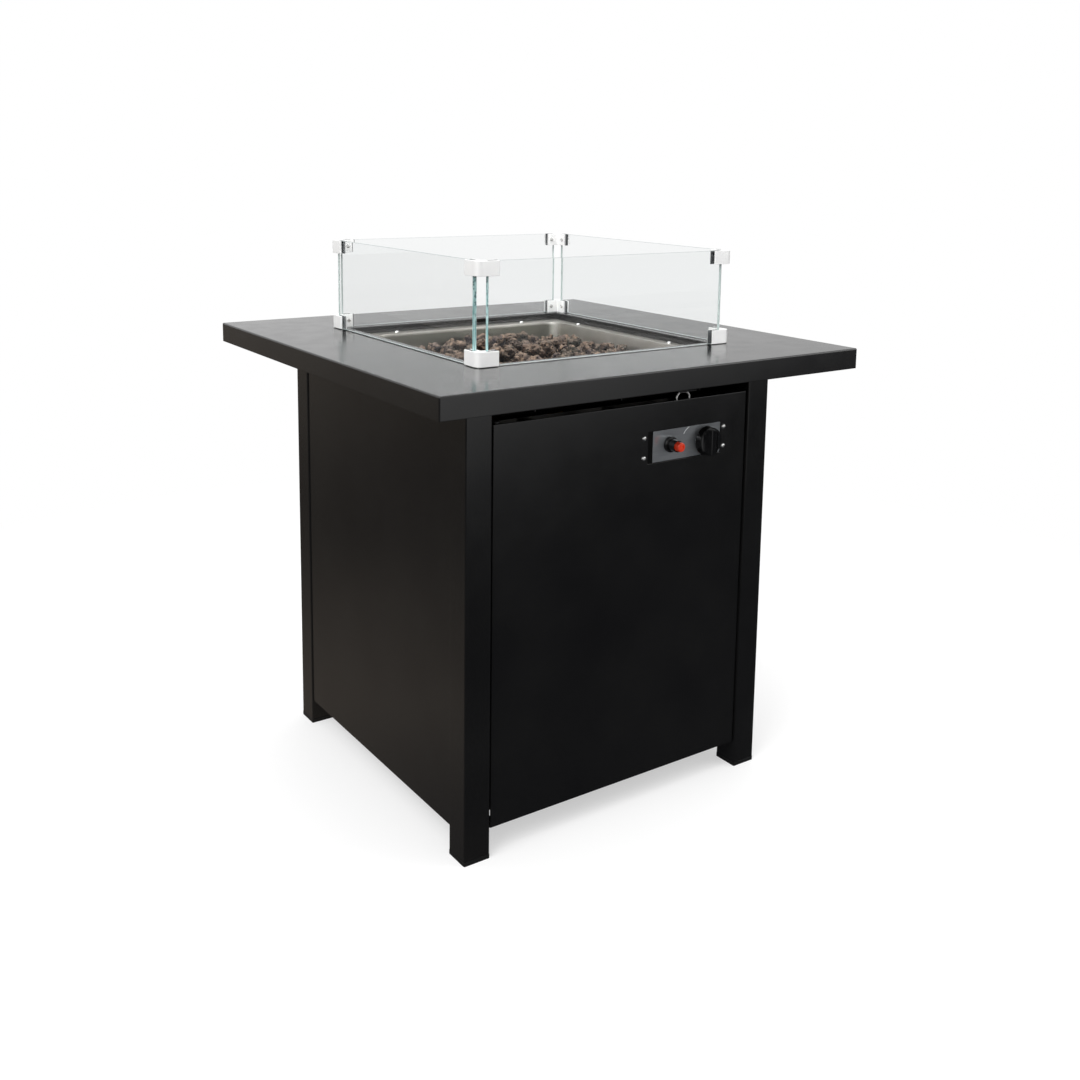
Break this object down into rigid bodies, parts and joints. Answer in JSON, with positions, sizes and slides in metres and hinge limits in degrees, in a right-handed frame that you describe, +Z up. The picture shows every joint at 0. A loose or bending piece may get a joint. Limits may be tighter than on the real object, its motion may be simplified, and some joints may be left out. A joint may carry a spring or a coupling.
{
  "type": "gas fire pit table",
  "caption": "Square steel gas fire pit table with a lava rock bowl, a lift-off glass wind guard, and a hinged door with an igniter button and a gas knob.",
  "frame": {"origin": "on the floor under the middle of the table", "axes": "+Z up, +Y from the door towards the back, +X to the right of somebody who faces the door"},
  "size_m": [0.711, 0.711, 0.805],
  "materials": {
    "black_powder_coat": "fine satin black powder coat",
    "black_plastic": "moulded black plastic",
    "zinc_plated_steel": "bright zinc plate",
    "stainless_steel": "drawn and brushed stainless steel",
    "bright_spring_wire": "bright chrome plate",
    "satin_faceplate": "satin silver faceplate",
    "grey_sheet_steel": "dark grey coated sheet",
    "brass": "machined brass",
    "die_cast_valve": "rough die casting",
    "electrode_ceramic": "white ceramic sleeve with a steel wire",
    "lava_rock": "porous brown lava rock",
    "red_plastic": "glossy red plastic",
    "clear_glass": "clear tempered glass with green edges",
    "polished_aluminium": "polished aluminium",
    "black_rubber": "black rubber"
  },
  "bodies": {
    "cabinet": {"table_top": "black_powder_coat", "leg_front_left": "black_powder_coat", "leg_front_right": "black_powder_coat", "leg_rear_left": "black_powder_coat", "leg_rear_right": "black_powder_coat", "foot_caps": "black_plastic", "panel_left": "black_powder_coat", "panel_right": "black_powder_coat", "panel_back": "black_powder_coat", "front_rail": "black_powder_coat", "top_gussets": "black_powder_coat", "top_nuts": "zinc_plated_steel", "panel_screws": "zinc_plated_steel", "base_shelf": "black_powder_coat", "tank_ring": "black_powder_coat", "hinge_bracket_upper": "zinc_plated_steel", "hinge_bracket_lower": "zinc_plated_steel", "hinge_pins": "zinc_plated_steel", "hinge_screws": "zinc_plated_steel", "catch_strike": "black_powder_coat", "burner_pan": "stainless_steel", "pan_screws": "zinc_plated_steel", "burner": "stainless_steel", "burner_locknut": "zinc_plated_steel", "inlet_elbow": "brass", "air_mixer": "stainless_steel", "gas_orifice": "brass", "spark_electrode": "electrode_ceramic", "thermocouple": "stainless_steel", "electrode_shield": "stainless_steel", "lava_rocks": "lava_rock"},
    "door": {"door_panel": "black_powder_coat", "door_catch": "bright_spring_wire", "control_tray": "grey_sheet_steel", "control_faceplate": "satin_faceplate", "control_screws": "zinc_plated_steel", "igniter_body": "black_plastic", "igniter_collar": "black_plastic", "gas_valve": "die_cast_valve", "valve_inlet_fitting": "brass", "valve_outlet_fitting": "brass", "valve_screws": "zinc_plated_steel"},
    "spindle": {"valve_stem": "zinc_plated_steel"},
    "knob": {"control_knob": "black_plastic"},
    "button": {"igniter_button": "red_plastic"},
    "wind_guard": {"glass_front": "clear_glass", "glass_rear": "clear_glass", "glass_left": "clear_glass", "glass_right": "clear_glass", "clamp_upper_front_left": "polished_aluminium", "clamp_upper_front_right": "polished_aluminium", "clamp_upper_rear_left": "polished_aluminium", "clamp_upper_rear_right": "polished_aluminium", "clamp_lower_front_left": "polished_aluminium", "clamp_lower_front_right": "polished_aluminium", "clamp_lower_rear_left": "polished_aluminium", "clamp_lower_rear_right": "polished_aluminium", "clamp_pads": "black_rubber", "clamp_screws": "zinc_plated_steel", "guard_feet": "black_rubber"}
  },
  "joints": [
    {"name": "door_hinge", "type": "hinge", "parent": "cabinet", "child": "door", "pos_m": [-0.213, -0.2535, 0.319], "axis": [0, 0, -1], "range_deg": [0, 100]},
    {"name": "valve_turn", "type": "hinge", "parent": "door", "child": "spindle", "pos_m": [0.144, -0.2615, 0.533], "axis": [0, -1, 0], "range_deg": [0, 180]},
    {"name": "knob_press", "type": "slide", "parent": "spindle", "child": "knob", "axis": [0, 1, 0], "range_m": [0, 0.004], "stiffness_N_per_m": 1500},
    {"name": "igniter_press", "type": "slide", "parent": "door", "child": "button", "axis": [0, 1, 0], "range_m": [0, 0.006], "stiffness_N_per_m": 1500},
    {"name": "guard_lift", "type": "slide", "parent": "cabinet", "child": "wind_guard", "axis": [0, 0, 1], "range_m": [0, 0.2]}
  ]
}
